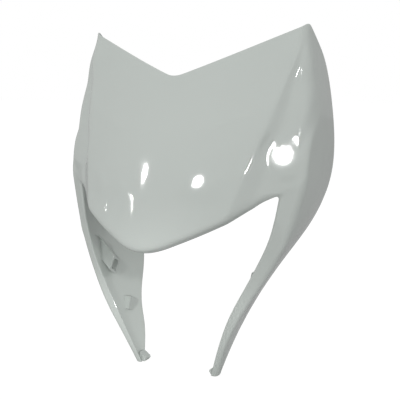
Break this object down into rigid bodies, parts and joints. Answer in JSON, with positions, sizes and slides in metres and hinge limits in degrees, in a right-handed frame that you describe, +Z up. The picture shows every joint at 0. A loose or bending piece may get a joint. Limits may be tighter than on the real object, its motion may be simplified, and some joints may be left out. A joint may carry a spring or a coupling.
{
  "type": "headlight cowl",
  "caption": "One-piece white moulded headlight cowl for a small motorbike: notched hood, proud centre shield, side wings, and two legs that frame the lamp opening.",
  "frame": {"origin": "midway between the seats of the two screw bosses behind the hood", "axes": "+Z up from the leg tips to the ears, +Y to the rear of the motorbike, out of the screw bosses, +X to the left as the rider sits, to the right in the picture"},
  "size_m": [0.2586, 0.1735, 0.3278],
  "materials": {
    "white_plastic": "high gloss, slightly cool white, moulded in colour"
  },
  "bodies": {
    "root": {"cowl": "white_plastic"}
  },
  "joints": []
}
